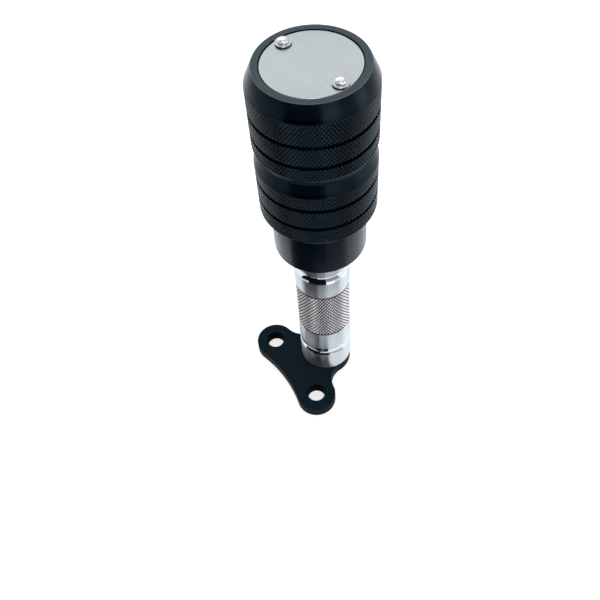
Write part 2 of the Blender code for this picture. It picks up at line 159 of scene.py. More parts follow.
class Finish:  # a material, with the axis-centred coordinates that its patterns use
    def __init__(self, name):
        self.material = bpy.data.materials.new(name)
        self.material.use_nodes = True
        self.tree = self.material.node_tree
        self.shader = self.tree.nodes["Principled BSDF"]
        place = self.add("ShaderNodeTexCoord", None, None, "Object")
        self.place = self.add("ShaderNodeMapping", None, {"Vector": place, "Location": -axisPlace})
        self.x = self.add("ShaderNodeSeparateXYZ", None, {0: self.place})
        self.y = self.x.other(1)
        self.z = self.x.other(2)
        self.radius = (self.x * self.x + self.y * self.y) ** 0.5

    def add(self, kind, settings=None, sockets=None, output=0):
        return addNode(self.tree, kind, settings, sockets, output)

    def set(self, socket, value):
        feed(self.tree, self.shader.inputs[socket], value)

    def mix(self, factor, first, second):
        return self.add("ShaderNodeMix", {"data_type": "RGBA"},
                        {0: factor, 6: first, 7: second}, 2)

    def noise(self, scale, detail, roughness=0.5, place=None):  # 0 to 1, with 0.5 as its middle
        return self.add("ShaderNodeTexNoise", None,
                        {"Vector": place or self.place, "Scale": scale, "Detail": detail,
                         "Roughness": roughness})

    def stretched(self, scales):
        return self.add("ShaderNodeVectorMath", {"operation": "MULTIPLY"},
                        {0: self.place, 1: scales})

    def rings(self, scale, slant=0.6):  # turning marks, round cylinders and flat ends alike
        line = self.z + self.radius * slant
        return self.add("ShaderNodeTexNoise", {"noise_dimensions": "1D"},
                        {"W": line, "Scale": scale, "Detail": 3.0, "Roughness": 0.6})

    def bump(self, height, strength, distance):
        bumped = self.add("ShaderNodeBump", None,
                          {"Height": height, "Strength": strength, "Distance": distance})
        self.set("Normal", bumped)


# Mesh helpers

def newObject(name, data, finish=None):
    thing = bpy.data.objects.new(name, data)
    bpy.context.scene.collection.objects.link(thing)
    if finish:
        data.materials.clear()
        data.materials.append(finish.material)
    return thing


def plainMesh(thing):  # what the modifiers make, as a mesh of its own
    bpy.context.view_layer.update()
    evaluated = thing.evaluated_get(bpy.context.evaluated_depsgraph_get())
    mesh = bpy.data.meshes.new_from_object(evaluated)
    bpy.data.objects.remove(thing, do_unlink=True)
    return mesh


def roundCorners(profile, radius, steps=3, flattest=12, share=0.45):
    closed = profile + profile[:1]
    rounded = []
    for index, point in enumerate(profile):
        here = Vector(point)
        into = here - Vector(profile[index - 1])
        out = Vector(closed[index + 1]) - here
        if here.x < tiny or into.length < tiny or out.length < tiny:
            rounded.append((here.x, here.y))
            continue
        turn = into.angle(out)
        if turn < math.radians(flattest):
            rounded.append((here.x, here.y))
            continue
        reach = min(radius * math.tan(turn / 2), into.length * share, out.length * share)
        start = here - into.normalized() * reach
        end = here + out.normalized() * reach
        for step in range(steps + 1):
            t = step / steps
            bend = start * (1 - t) ** 2 + here * 2 * t * (1 - t) + end * t ** 2
            rounded.append((bend.x, bend.y))
    return rounded


def turnedMesh(name, profile, segments):  # profile of (radius, height), down the outer side
    shape = bmesh.new()
    rings = []
    for radius, height in profile:
        if radius < tiny:
            rings.append([shape.verts.new((0.0, 0.0, height))])
        else:
            rings.append([shape.verts.new((radius * math.cos(math.tau * step / segments),
                                           radius * math.sin(math.tau * step / segments), height))
                          for step in range(segments)])
    for upper, lower in zip(rings, rings[1:] + rings[:1]):
        if len(upper) == 1 and len(lower) == 1:
            continue
        for step in range(segments):
            beside = (step + 1) % segments
            corners = [upper[step % len(upper)], lower[step % len(lower)],
                       lower[beside % len(lower)], upper[beside % len(upper)]]
            shape.faces.new(list(dict.fromkeys(corners)))
    bmesh.ops.translate(shape, verts=shape.verts, vec=axisPlace)
    mesh = bpy.data.meshes.new(name)
    shape.to_mesh(mesh)
    shape.free()
    return mesh


def smooth(mesh, sharpFrom=28):  # edges that turn further than this many degrees stay sharp
    mesh.shade_smooth()
    mesh.set_sharp_from_angle(angle=math.radians(sharpFrom))


def pinProfile(radius, top, bottom):
    return [(0.0, top), (radius, top), (radius, bottom), (0.0, bottom)]


def pinCutter(name, x, y, profile, segments=48):
    mesh = turnedMesh(name, profile, segments)
    mesh.transform(Matrix.Translation(Vector((x, y, 0.0)) - axisPlace))
    return newObject(name, mesh)


def cutWith(thing, cutters):  # exact cuts, one after another, then the cutters go
    for cutter in cutters:
        boolean = thing.modifiers.new("cut", "BOOLEAN")
        boolean.operation = "DIFFERENCE"
        boolean.solver = "EXACT"
        boolean.object = cutter
    mesh = plainMesh(thing)
    for cutter in cutters:
        bpy.data.objects.remove(cutter, do_unlink=True)
    return mesh


def joined(name, meshes):
    shape = bmesh.new()
    for mesh in meshes:
        shape.from_mesh(mesh)
        bpy.data.meshes.remove(mesh)
    mesh = bpy.data.meshes.new(name)
    shape.to_mesh(mesh)
    shape.free()
    return mesh


# Finishes

def blackPlastic():
    look = {"body": (0.0009, 0.0030, 0.0068, 1.0), "crest": (0.018, 0.026, 0.031, 1.0),
            "valleyShade": (0.0002, 0.0006, 0.0012, 1.0), "face": (0.066, 0.086, 0.096, 1.0),
            "edge": (0.14, 0.165, 0.175, 1.0), "tint": (0.38, 0.78, 1.0, 1.0),
            "cloudScale": 55.0, "fineScale": 900.0, "ringScale": 2600.0,
            "roughness": 0.23, "cloudy": 0.16, "grainy": 0.12,
            "shine": 0.12, "haze": 0.20, "hazeSpread": 0.30,
            "fullRadius": 25.0 * mm, "litCrest": (0.16 * mm, 0.02 * mm), "crestHighlight": 0.55,
            "crestHighlightPatches": 0.4, "deep": (0.36 * mm, 0.22 * mm), "knurlDepth": 0.8 * mm,
            "endHeight": 197.0 * mm, "endDepth": 0.06 * mm, "paintedTopLight": 0.75, "palePatches": 0.5,
            "rim": 21.8 * mm, "rimHighlight": (0.35 * mm, 0.08 * mm), "rimDepth": 0.2 * mm,
            "rimHighlightLevel": 0.4, "rimPatches": 0.6,
            "bump": 0.25, "bumpHeight": 0.03 * mm, "fineBump": 0.5}
    finish = Finish("blackTurnedPlastic")
    cloud = finish.noise(look["cloudScale"], 3.0)
    fine = finish.noise(look["fineScale"], 2.0)
    litCrest = riseUnder(finish.radius, look["fullRadius"], look["litCrest"])
    deep = 1 - riseUnder(finish.radius, look["fullRadius"], look["deep"])
    inKnurl = finish.radius > look["fullRadius"] - look["knurlDepth"]
    # painted shade: the knurl's roots and valleys are painted darker than the body
    colour = finish.mix(deep * inKnurl, look["body"], look["valleyShade"])
    # painted highlight: the tops of the knurl crests are painted lighter, in patches
    colour = finish.mix(litCrest * (look["crestHighlight"] + fine * look["crestHighlightPatches"]), colour, look["crest"])
    flatEnd = finish.z > look["endHeight"] - look["endDepth"]  # the flat end is painted paler than the sides: painted highlight where light falls from above
    paintedTopLight = flatEnd * (look["paintedTopLight"] + cloud * look["palePatches"])
    colour = finish.mix(paintedTopLight, colour, look["face"])
    # painted highlight: the outer edge of the end ring is painted lighter, in patches
    onRim = (riseUnder(finish.radius, look["rim"], look["rimHighlight"])
             * (finish.z > look["endHeight"] - look["rimDepth"]))
    rimHighlight = onRim * (look["rimHighlightLevel"] + cloud * look["rimPatches"])
    finish.set("Base Color", finish.mix(rimHighlight, colour, look["edge"]))
    finish.set("Roughness", look["roughness"] + (cloud - 0.5) * look["cloudy"]
               + (fine - 0.5) * look["grainy"])
    finish.set("Specular IOR Level", look["shine"])
    finish.set("Specular Tint", look["tint"])
    finish.set("Sheen Weight", look["haze"])
    finish.set("Sheen Roughness", look["hazeSpread"])
    finish.set("Sheen Tint", look["tint"])
    finish.bump(finish.rings(look["ringScale"]) + fine * look["fineBump"],
                look["bump"], look["bumpHeight"])
    return finish


def turnedAluminium():
    look = {"face": (0.60, 0.66, 0.71, 1.0), "crest": (0.99, 0.97, 1.0, 1.0),
            "valleyShade": (0.018, 0.020, 0.028, 1.0), "polish": (0.64, 0.69, 0.73, 1.0),
            "cloudScale": 90.0, "ringScale": 3200.0,
            "roughness": 0.34, "ringed": 0.08, "cloudy": 0.05, "deepRoughness": 0.2,
            "polishedRoughness": 0.10, "stretch": 0.9, "stretchTurn": 0.25,
            "fullRadius": 13.3 * mm, "deep": (0.34 * mm, 0.14 * mm), "polishDepth": 0.04 * mm,
            "gripBottom": 39.5 * mm, "gripTop": 71.9 * mm,
            "bump": 0.05, "bumpHeight": 0.02 * mm}
    finish = Finish("turnedAluminium")
    cloud = finish.noise(look["cloudScale"], 3.0)
    rings = finish.rings(look["ringScale"])
    grip = (finish.z > look["gripBottom"]) * (finish.z < look["gripTop"])
    deep = (1 - riseUnder(finish.radius, look["fullRadius"], look["deep"])) * grip
    polished = (finish.radius < look["fullRadius"] - look["polishDepth"]) * (1 - grip)
    # painted highlight: the knurled grip takes a far lighter copy of the aluminium colour than the
    # plain bands
    face = finish.mix(grip, look["face"], look["crest"])
    face = finish.mix(polished, face, look["polish"])
    # painted shade: the grip's knurl valleys are painted near black
    finish.set("Base Color", finish.mix(deep, face, look["valleyShade"]))
    finish.set("Metallic", 1.0)
    turned = (look["roughness"] + (rings - 0.5) * look["ringed"] + (cloud - 0.5) * look["cloudy"]
              + deep * look["deepRoughness"])
    finish.set("Roughness", turned * (1 - polished) + polished * look["polishedRoughness"])
    finish.set("Anisotropic", look["stretch"])  # the turning marks spread light up and down
    finish.set("Anisotropic Rotation", look["stretchTurn"])
    finish.bump(rings * (1 - polished), look["bump"], look["bumpHeight"])
    return finish


def brushedPlate():
    look = {"face": (0.475, 0.505, 0.51, 1.0), "streak": (0.37, 0.40, 0.41, 1.0),
            "streaks": 0.7, "brushing": (22.0, 1400.0, 22.0), "cloudScale": 120.0,
            "roughness": 0.32, "streaky": 0.15, "cloudy": 0.1,
            "bump": 0.25, "bumpHeight": 0.02 * mm}
    finish = Finish("brushedPlate")
    brushed = finish.noise(1.0, 4.0, 0.65, finish.stretched(look["brushing"]))
    cloud = finish.noise(look["cloudScale"], 2.0)
    finish.set("Base Color", finish.mix(brushed * look["streaks"], look["face"], look["streak"]))
    finish.set("Metallic", 1.0)
    finish.set("Roughness", look["roughness"] + (brushed - 0.5) * look["streaky"]
               + (cloud - 0.5) * look["cloudy"])
    finish.bump(brushed, look["bump"], look["bumpHeight"])
    return finish


def brightRivet():
    look = {"face": (0.90, 0.91, 0.92, 1.0), "dull": (0.80, 0.82, 0.83, 1.0), "dulled": 0.3,
            "flange": (0.45, 0.475, 0.48, 1.0), "cloudScale": 700.0,
            "roughness": 0.28, "satin": 0.16, "cloudy": 0.08,
            "flangeTop": 197.5 * mm, "domeFrom": 0.05 * mm, "domeTo": 0.30 * mm}
    finish = Finish("brightRivet")
    cloud = finish.noise(look["cloudScale"], 3.0)
    dome = rise(finish.z, look["flangeTop"] + look["domeFrom"],
                look["flangeTop"] + look["domeTo"])
    face = finish.mix(cloud * look["dulled"], look["face"], look["dull"])
    # painted shade: the flange is painted darker than the dome, though both are one metal
    finish.set("Base Color", finish.mix(dome, look["flange"], face))
    finish.set("Metallic", 1.0)
    finish.set("Roughness", look["roughness"] + dome * look["satin"]
               + (cloud - 0.5) * look["cloudy"])
    return finish


def blackBracket():
    look = {"body": (0.0084, 0.0172, 0.0255, 1.0), "speck": (0.13, 0.145, 0.15, 1.0),
            "rim": (0.0012, 0.0022, 0.0032, 1.0), "bore": (0.0004, 0.0008, 0.0014, 1.0),
            "tint": (0.45, 0.80, 1.0, 1.0), "cloudScale": 70.0, "grainScale": 1300.0,
            "specks": 0.6, "speckGrain": (0.66, 0.74), "speckCloud": (0.42, 0.62),
            "roughness": 0.40, "cloudy": 0.18, "grainy": 0.2, "boreRoughness": 0.60,
            "shine": 0.01, "holeX": 20.35 * mm, "holeRadius": 4.5 * mm, "holeEdge": 0.03 * mm,
            "rimWidth": 0.4 * mm, "rimFade": 0.12 * mm, "rimLeast": 0.3, "rimPatches": 0.9,
            "bump": 0.25, "bumpHeight": 0.04 * mm}
    finish = Finish("blackAnodised")
    cloud = finish.noise(look["cloudScale"], 4.0)
    grain = finish.noise(look["grainScale"], 2.0, 0.6)
    speck = rise(grain, *look["speckGrain"]) * rise(cloud, *look["speckCloud"])
    fromHole = abs(finish.x) - look["holeX"]
    along = finish.y + axisPlace.y
    holeDistance = (fromHole * fromHole + along * along) ** 0.5
    rimStart = look["holeRadius"] + look["holeEdge"]
    rimEnd = look["holeRadius"] + look["rimWidth"]
    inHole = holeDistance < rimStart
    # painted shade: the chamfer round each bolt hole is painted dark, in patches
    onRim = (holeDistance > rimStart) * (1 - rise(holeDistance, rimEnd, rimEnd + look["rimFade"]))
    rim = onRim * (look["rimLeast"] + cloud * look["rimPatches"])
    body = finish.mix(speck * look["specks"], look["body"], look["speck"])
    # painted shade: the walls inside the bolt holes are painted near black
    body = finish.mix(inHole, body, look["bore"])
    finish.set("Base Color", finish.mix(rim, body, look["rim"]))
    finish.set("Specular IOR Level", look["shine"])
    finish.set("Specular Tint", look["tint"])
    sandy = (look["roughness"] + (cloud - 0.5) * look["cloudy"]
             + (grain - 0.5) * look["grainy"])
    finish.set("Roughness", sandy * (1 - inHole) + inHole * look["boreRoughness"])
    finish.bump(grain * (1 - inHole), look["bump"], look["bumpHeight"])
    return finish


def zincSteel():
    look = {"face": (0.58, 0.60, 0.61, 1.0), "dull": (0.44, 0.45, 0.44, 1.0),
            "cloudScale": 260.0, "roughness": 0.30, "cloudy": 0.2,
            "bump": 0.15, "bumpHeight": 0.03 * mm}
    finish = Finish("zincSteel")
    cloud = finish.noise(look["cloudScale"], 4.0)
    finish.set("Base Color", finish.mix(cloud, look["face"], look["dull"]))
    finish.set("Metallic", 1.0)
    finish.set("Roughness", look["roughness"] + (cloud - 0.5) * look["cloudy"])
    finish.bump(cloud, look["bump"], look["bumpHeight"])
    return finish


# Geometry Nodes trees

def newTree(name, inputs, output):
    tree = bpy.data.node_groups.new(name, "GeometryNodeTree")
    for label, kind in inputs.items():
        tree.interface.new_socket(label, in_out="INPUT", socket_type="NodeSocket" + kind)
    tree.interface.new_socket(output, in_out="OUTPUT", socket_type="NodeSocketGeometry")
    return tree


def runTree(name, tree, values):
    carrier = newObject(name, bpy.data.meshes.new(name))
    nodes = carrier.modifiers.new("nodes", "NODES")
    nodes.node_group = tree
    for item in tree.interface.items_tree:
        if item.in_out == "INPUT":
            nodes[item.identifier] = values[item.name]
    return plainMesh(carrier)


# Knurl: crossed rolled lines leave rows of small blunt pyramids round a body

def knurlTree():
    tree = newTree("knurlBand", {"Around": "Int", "First Row": "Int", "Rows": "Int",
                                 "Row Pitch": "Float", "Root Radius": "Float", "Depth": "Float",
                                 "Blunt": "Float", "Finish": "Material"}, "Knurl")
    group = addNode(tree, "NodeGroupInput")
    around = group.other("Around")
    pitch = group.other("Row Pitch")
    root = group.other("Root Radius")

    index = addNode(tree, "GeometryNodeInputIndex")
    row = group.other("First Row") + (index / around).floor()
    angle = (index % around + (row % 2.0) * 0.5) * (math.tau / around)  # odd rows stand between
    spot = addNode(tree, "ShaderNodeCombineXYZ", None,
                   {0: root * angle.cos(), 1: root * angle.sin(), 2: row * pitch})
    points = addNode(tree, "GeometryNodePoints", None,
                     {"Count": around * group.other("Rows"), "Position": spot})

    # One pyramid: four sides, its long diagonal up the axis, its blunt top outwards
    pyramid = addNode(tree, "GeometryNodeMeshCone", {"fill_type": "NGON"},
                      {"Vertices": 4, "Radius Top": group.other("Blunt"), "Radius Bottom": 1.0,
                       "Depth": group.other("Depth")})
    size = addNode(tree, "ShaderNodeCombineXYZ", None,
                   {0: root * math.pi / around, 1: pitch, 2: 1.0})
    pyramid = addNode(tree, "GeometryNodeTransform", None, {"Geometry": pyramid, "Scale": size})
    pyramid = addNode(tree, "GeometryNodeTransform", None,
                      {"Geometry": pyramid, "Rotation": (math.pi / 2, 0.0, math.pi / 2)})
    facing = addNode(tree, "ShaderNodeCombineXYZ", None, {2: angle})
    knurl = addNode(tree, "GeometryNodeInstanceOnPoints", None,
                    {"Points": points, "Instance": pyramid, "Rotation": facing})
    knurl = addNode(tree, "GeometryNodeRealizeInstances", None, {"Geometry": knurl})
    knurl = addNode(tree, "GeometryNodeTransform", None,
                    {"Geometry": knurl, "Translation": tuple(axisPlace)})
    knurl = addNode(tree, "GeometryNodeSetMaterial", None,
                    {"Geometry": knurl, "Material": group.other("Finish")})
    addNode(tree, "NodeGroupOutput", None, {0: knurl})
    return tree


def knurlBand(tree, knurl, bottom, top, finish):
    firstRow = math.floor(bottom / knurl["rowPitch"]) - 1
    lastRow = math.ceil(top / knurl["rowPitch"]) + 1
    mesh = runTree("knurlBand", tree,
                   {"Around": knurl["around"], "First Row": firstRow,
                    "Rows": lastRow - firstRow + 1, "Row Pitch": knurl["rowPitch"],
                    "Root Radius": knurl["radius"] - knurl["depth"], "Depth": knurl["depth"],
                    "Blunt": knurl["blunt"], "Finish": finish.material})
    shape = bmesh.new()
    shape.from_mesh(mesh)
    bpy.data.meshes.remove(mesh)
    for height, outward in ((bottom, -1.0), (top, 1.0)):  # trim the rows at the band's edges
        everything = shape.verts[:] + shape.edges[:] + shape.faces[:]
        cut = bmesh.ops.bisect_plane(shape, geom=everything, dist=tiny,
                                     plane_co=(0.0, 0.0, height), plane_no=(0.0, 0.0, outward),
                                     clear_outer=True)
        edges = [part for part in cut["geom_cut"] if isinstance(part, bmesh.types.BMEdge)]
        bmesh.ops.holes_fill(shape, edges=edges, sides=8)
    trimmed = bpy.data.meshes.new("knurlBand")
    shape.to_mesh(trimmed)
    shape.free()
    return trimmed


# End plate: its rivets also pass into the puck

cap = {"radius": 18.75 * mm, "bevel": 0.2 * mm, "edge": 0.1 * mm, "segments": 192,
       "rivetCircle": 15.5 * mm, "rivetBearing": math.radians(7.5), "rivetHole": 1.8 * mm}


def rivetPlaces():
    across = cap["rivetCircle"] * math.cos(cap["rivetBearing"])
    along = cap["rivetCircle"] * math.sin(cap["rivetBearing"])
    return [(side * across, axisPlace.y + side * along) for side in (-1, 1)]


def makeCap(finish):
    low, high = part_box("cap_plate")
    profile = [(0.0, high.z), (cap["radius"] - cap["bevel"], high.z),
               (cap["radius"], high.z - cap["bevel"]), (cap["radius"], low.z), (0.0, low.z)]
    profile = roundCorners(profile, cap["edge"])
    disc = newObject("disc", turnedMesh("disc", profile, cap["segments"]))
    pin = pinProfile(cap["rivetHole"], high.z + overCut, low.z - overCut)
    mesh = cutWith(disc, [pinCutter("plateHole", x, y, pin) for x, y in rivetPlaces()])
    smooth(mesh)
    piece = newObject("endPlate", mesh, finish)
    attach(piece, "root")
    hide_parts("cap_plate")
    print("end plate made")


# Puck

def puckBands(puck):  # (top, bottom) heights of the knurled bands
    bands = []
    height = puck["top"] - puck["endTaper"]
    for lobe in (puck["upperBands"], puck["lowerBands"]):
        for band in lobe:
            bands.append((height, height - band))
            height -= band + puck["grooveWidth"]
        height -= puck["waist"] - puck["grooveWidth"]
    return bands


def makePuck(tree, finish):
    low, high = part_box("puck")
    puck = {"radius": 25.0 * mm, "rim": 21.8 * mm, "endTaper": 7.1 * mm, "top": high.z,
            "upperBands": (9.45 * mm, 8.1 * mm, 5.35 * mm),
            "lowerBands": (6.05 * mm, 8.6 * mm, 7.05 * mm),
            "grooveWidth": 1.9 * mm, "grooveDepth": 1.6 * mm,
            "waist": 10.1 * mm, "waistDepth": 2.6 * mm,
            "shoulder": 5.6 * mm, "collar": 20.7 * mm, "tailTaper": 2.4 * mm, "tail": 18.3 * mm,
            "sleeveBore": 7.4 * mm, "sleeveLength": 45.0 * mm, "counterbore": 11.5 * mm,
            "recess": 19.05 * mm, "recessDepth": 1.6 * mm, "rivetDepth": 8.3 * mm,
            "edge": 0.22 * mm, "segments": 240}
    knurl = {"around": 102, "rowPitch": 1.12 * mm, "radius": puck["radius"],
             "depth": 0.40 * mm, "sunk": 0.04 * mm, "blunt": 0.34}
    root = puck["radius"] - knurl["depth"] + knurl["sunk"]
    grooveFloor = puck["radius"] - puck["grooveDepth"]
    bands = puckBands(puck)
    outer = [(puck["rim"], high.z), (puck["radius"], bands[0][0])]
    for index, (top, bottom) in enumerate(bands):
        outer += [(root, top), (root, bottom)]
        if index == len(puck["upperBands"]) - 1:  # the waist between the two lobes
            outer += [(puck["radius"], bottom),
                      (puck["radius"] - puck["waistDepth"], bottom - puck["waist"] / 2),
                      (puck["radius"], bottom - puck["waist"])]
        elif index < len(bands) - 1:
            outer += [(grooveFloor, bottom), (grooveFloor, bottom - puck["grooveWidth"])]
    shoulder = bands[-1][1]
    outer += [(puck["radius"], shoulder), (puck["collar"], shoulder - puck["shoulder"]),
              (puck["collar"], low.z + puck["tailTaper"]), (puck["tail"], low.z)]
    seat = low.z + puck["sleeveLength"]
    recessFloor = high.z - puck["recessDepth"]
    inner = [(puck["sleeveBore"], low.z), (puck["sleeveBore"], seat), (puck["counterbore"], seat),
             (puck["counterbore"], recessFloor), (puck["recess"], recessFloor),
             (puck["recess"], high.z)]
    profile = roundCorners(outer + inner, puck["edge"])
    body = newObject("puckBody", turnedMesh("puckBody", profile, puck["segments"]))
    pin = pinProfile(cap["rivetHole"], recessFloor + overCut, recessFloor - puck["rivetDepth"])
    body = cutWith(body, [pinCutter("rivetHole", x, y, pin) for x, y in rivetPlaces()])
    smooth(body)
    meshes = [body] + [knurlBand(tree, knurl, bottom, top, finish) for top, bottom in bands]
    piece = newObject("knurledPuck", joined("knurledPuck", meshes), finish)
    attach(piece, "root")
    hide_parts("puck")
    print("puck:", len(piece.data.polygons), "faces")


# Stem

def squareGroove(radius, top, width, depth):
    return [(radius, top), (radius - depth, top), (radius - depth, top - width),
            (radius, top - width)]


def arcGroove(radius, top, width, depth, steps=16):
    curve = (width ** 2 / 4 + depth ** 2) / (2 * depth)
    half = math.asin(width / 2 / curve)
    angles = [half * (1 - 2 * step / steps) for step in range(steps + 1)]
    return [(radius - depth + curve - curve * math.cos(angle),
             top - width / 2 + curve * math.sin(angle)) for angle in angles]


def makeStem(tree, finish):
    low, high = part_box("stem")
    stem = {"radius": 13.3 * mm, "bevel": 0.4 * mm, "headBand": 10.2 * mm,
            "grooveWidth": 6.2 * mm, "grooveDepth": 1.0 * mm, "upperBand": 10.8 * mm,
            "relief": 0.9 * mm, "reliefDepth": 0.5 * mm, "grip": 30.6 * mm,
            "lowerBand": 13.2 * mm, "bore": 5.3 * mm, "headBore": 28.0 * mm,
            "footBore": 21.0 * mm, "point": 3.2 * mm, "mouth": 0.7 * mm, "edge": 0.3 * mm,
            "segments": 192}
    knurl = {"around": 50, "rowPitch": 1.27 * mm, "radius": stem["radius"],
             "depth": 0.42 * mm, "sunk": 0.03 * mm, "blunt": 0.26}
    radius = stem["radius"]
    root = radius - knurl["depth"] + knurl["sunk"]
    outer = [(radius - stem["bevel"], high.z), (radius, high.z - stem["bevel"])]
    height = high.z - stem["headBand"]
    outer += arcGroove(radius, height, stem["grooveWidth"], stem["grooveDepth"])
    height -= stem["grooveWidth"] + stem["upperBand"]
    outer += squareGroove(radius, height, stem["relief"], stem["reliefDepth"])[:3]
    gripTop = height - stem["relief"]
    gripBottom = gripTop - stem["grip"]
    outer += [(root, gripTop), (root, gripBottom)]
    outer += squareGroove(radius, gripBottom, stem["relief"], stem["reliefDepth"])[1:]
    height = gripBottom - stem["relief"] - stem["lowerBand"]
    outer += arcGroove(radius, height, stem["grooveWidth"], stem["grooveDepth"])
    outer += [(radius, low.z + stem["bevel"]), (radius - stem["bevel"], low.z)]
    headFloor = high.z - stem["headBore"]
    footFloor = low.z + stem["footBore"]
    footBore = [(stem["bore"] + stem["mouth"], low.z), (stem["bore"], low.z + stem["mouth"]),
                (stem["bore"], footFloor), (0.0, footFloor + stem["point"])]
    headBore = [(0.0, headFloor - stem["point"]), (stem["bore"], headFloor),
                (stem["bore"], high.z - stem["mouth"]), (stem["bore"] + stem["mouth"], high.z)]
    profile = roundCorners(headBore + outer + footBore, stem["edge"])
    body = turnedMesh("stemBody", profile, stem["segments"])
    smooth(body)
    grip = knurlBand(tree, knurl, gripBottom, gripTop, finish)
    piece = newObject("turnedStem", joined("turnedStem", [body, grip]), finish)
    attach(piece, "root")
    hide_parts("stem")
    print("stem:", len(piece.data.polygons), "faces")


# Rivets

def rivetTree():
    tree = newTree("rivetRing", {"Rivet": "Object", "Count": "Int", "Circle": "Float",
                                 "Bearing": "Float", "Finish": "Material"}, "Rivets")
    group = addNode(tree, "NodeGroupInput")
    circle = group.other("Circle")
    index = addNode(tree, "GeometryNodeInputIndex")
    angle = group.other("Bearing") + index * (math.tau / group.other("Count"))
    spot = addNode(tree, "ShaderNodeCombineXYZ", None,
                   {0: circle * angle.cos(), 1: circle * angle.sin()})
    points = addNode(tree, "GeometryNodePoints", None,
                     {"Count": group.other("Count"), "Position": spot})
    rivet = addNode(tree, "GeometryNodeObjectInfo", None, {"Object": group.other("Rivet")},
                    "Geometry")
    rivets = addNode(tree, "GeometryNodeInstanceOnPoints", None,
                     {"Points": points, "Instance": rivet})
    rivets = addNode(tree, "GeometryNodeRealizeInstances", None, {"Geometry": rivets})
    rivets = addNode(tree, "GeometryNodeSetMaterial", None,
                     {"Geometry": rivets, "Material": group.other("Finish")})
    addNode(tree, "NodeGroupOutput", None, {0: rivets})
    return tree


def makeRivets(finish):
    low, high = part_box("cap_rivet_left")
    rivet = {"height": 1.95 * mm, "flange": 3.2 * mm, "flangeThick": 0.5 * mm,
             "flangeBevel": (0.12 * mm, 0.14 * mm), "shank": 1.5 * mm, "dome": 2.1 * mm,
             "domeSteps": 14, "fullness": 0.76, "edge": 0.1 * mm, "segments": 64,
             "sharpFrom": 40}
    seat = high.z - rivet["height"]
    flangeTop = seat + rivet["flangeThick"]
    domeHeight = high.z - flangeTop
    steps = rivet["domeSteps"]
    dome = []  # a full dome, flatter on top than a ball
    for step in range(steps + 1):
        angle = math.radians(90) * step / steps
        dome.append((rivet["dome"] * math.sin(angle) ** rivet["fullness"],
                     flangeTop + domeHeight * max(0.0, math.cos(angle)) ** rivet["fullness"]))
    dome[0] = (0.0, high.z)
    inward, down = rivet["flangeBevel"]
    body = [(rivet["flange"] - inward, flangeTop), (rivet["flange"], flangeTop - down),
            (rivet["flange"], seat), (rivet["shank"], seat), (rivet["shank"], low.z),
            (0.0, low.z)]
    profile = dome + roundCorners(body, rivet["edge"])
    source = newObject("rivetShape", turnedMesh("rivetShape", profile, rivet["segments"]))
    mesh = runTree("rivetRing", rivetTree(),
                   {"Rivet": source, "Count": 2, "Circle": cap["rivetCircle"],
                    "Bearing": cap["rivetBearing"], "Finish": finish.material})
    bpy.data.objects.remove(source, do_unlink=True)
    smooth(mesh, rivet["sharpFrom"])
    piece = newObject("capRivets", mesh, finish)
    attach(piece, "root")
    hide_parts("cap_rivet_left", "cap_rivet_right")
    print("rivets made")


# Bracket

def arcPoints(centre, radius, start, end, clockwise=False, pace=3):
    sweep = (start - end) % math.tau if clockwise else (end - start) % math.tau
    steps = max(2, math.ceil(sweep / math.radians(pace)))
    direction = -1 if clockwise else 1
    angles = [start + direction * sweep * step / steps for step in range(steps + 1)]
    return [centre + Vector((radius * math.cos(angle), radius * math.sin(angle)))
            for angle in angles]


def bearing(origin, target):
    return math.atan2(target.y - origin.y, target.x - origin.x)


def bracketOutline(plate):
    ear = Vector((plate["holeX"], 0.0))
    lobe = Vector((0.0, axisPlace.y))
    side = Vector((0.0, -math.sqrt((plate["longSide"] + plate["ear"]) ** 2 - ear.x ** 2)))
    toLobe = plate["lobe"] + plate["neck"]
    toEar = plate["ear"] + plate["neck"]
    span = (ear - lobe).length
    along = (toLobe ** 2 - toEar ** 2 + span ** 2) / (2 * span)
    aside = math.sqrt(toLobe ** 2 - along ** 2)
    direction = (ear - lobe).normalized()
    neck = lobe + direction * along + Vector((-direction.y, direction.x)) * aside
    half = arcPoints(side, plate["longSide"], math.radians(90), bearing(side, ear), True)
    half += arcPoints(ear, plate["ear"], bearing(ear, side), bearing(ear, neck))[1:]
    half += arcPoints(neck, plate["neck"], bearing(neck, ear), bearing(neck, lobe), True)[1:]
    half += arcPoints(lobe, plate["lobe"], bearing(lobe, neck), math.radians(90))[1:]
    return half + [Vector((-point.x, point.y)) for point in reversed(half[1:-1])]


